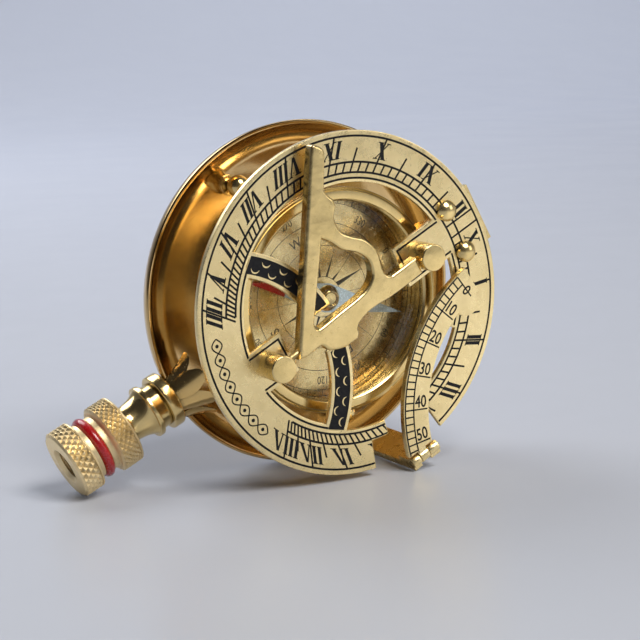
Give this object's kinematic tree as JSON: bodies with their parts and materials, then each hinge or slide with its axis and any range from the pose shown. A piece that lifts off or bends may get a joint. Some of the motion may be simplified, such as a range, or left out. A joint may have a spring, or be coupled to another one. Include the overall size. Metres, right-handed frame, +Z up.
{
  "type": "pocket sundial",
  "caption": "Brass pocket sundial over a compass: an hour ring with a hinged gnomon and folding latitude arc, on a shallow dish with a knurled screw coupling for a stick.",
  "frame": {"origin": "centre of the dish's flat back, on the disc's axis", "axes": "-Y out of the dial's face, +Z up as the object rests on its rim, noon 27.8 degrees above +X"},
  "size_m": [0.0984, 0.0367, 0.076],
  "materials": {
    "brass": "satin, lightly worn",
    "gold_dish": "mirror polished",
    "dark_brass": "dull",
    "dial_plate": "matt printed",
    "red_rubber": "glossy",
    "red_paint": "gloss enamel",
    "crystal": "clear"
  },
  "bodies": {
    "base": {"base_dish": "gold_dish", "compass_case": "brass", "compass_dial": "dial_plate", "needle_pivot": "brass", "compass_glass": "crystal", "bezel_ring": "brass", "hinge_bracket": "brass", "ring_hinge_pin": "dark_brass", "arc_bracket": "brass", "arc_hinge_pin": "dark_brass", "screw_bosses": "brass", "leaf_crown": "gold_dish", "flange_disc": "brass", "finial_neck": "brass", "finial_stud": "dark_brass", "knurled_collar": "brass", "o_ring": "red_rubber"},
    "cap": {"knurled_cap": "brass"},
    "ring": {"hour_ring": "brass", "ring_hinge_leaf": "brass", "ring_rivets": "brass", "gnomon_posts": "brass"},
    "gnomon": {"gnomon": "brass", "gnomon_pivots": "dark_brass"},
    "arc": {"latitude_arc": "brass"},
    "needle": {"compass_needle": "red_paint", "needle_cap": "brass"},
    "screw_west": {"levelling_screw_west": "brass"},
    "screw_east": {"levelling_screw_east": "brass"}
  },
  "joints": [
    {"name": "ring_tilt", "type": "hinge", "parent": "base", "child": "ring", "pos_m": [0.02654, -0.0222, 0.01399], "axis": [-0.4664, 0, 0.8846], "range_deg": [0, 50]},
    {"name": "arc_fold", "type": "hinge", "parent": "base", "child": "arc", "pos_m": [0.01591, -0.0282, -0.03468], "axis": [0.8846, 0, 0.4664], "range_deg": [0, 90]},
    {"name": "gnomon_fold", "type": "hinge", "parent": "ring", "child": "gnomon", "pos_m": [0, -0.0295, 0], "axis": [0.8846, 0, 0.4664], "range_deg": [0, 90]},
    {"name": "needle_spin", "type": "hinge", "parent": "base", "child": "needle", "pos_m": [0, -0.0156, 0], "axis": [0, -1, 0], "continuous": true},
    {"name": "cap_turn", "type": "hinge", "parent": "base", "child": "cap", "pos_m": [-0.05339, -0.0034, -0.02939], "axis": [-0.9044, 0, -0.4267], "continuous": true},
    {"name": "screw_west_travel", "type": "slide", "parent": "base", "child": "screw_west", "axis": [0, 1, 0], "range_m": [0, 0.0012]},
    {"name": "screw_east_travel", "type": "slide", "parent": "base", "child": "screw_east", "axis": [0, 1, 0], "range_m": [0, 0.0012]}
  ],
  "couplings": [
    {"joint": "arc_fold", "follows": "ring_tilt", "ratio": 1.8}
  ]
}
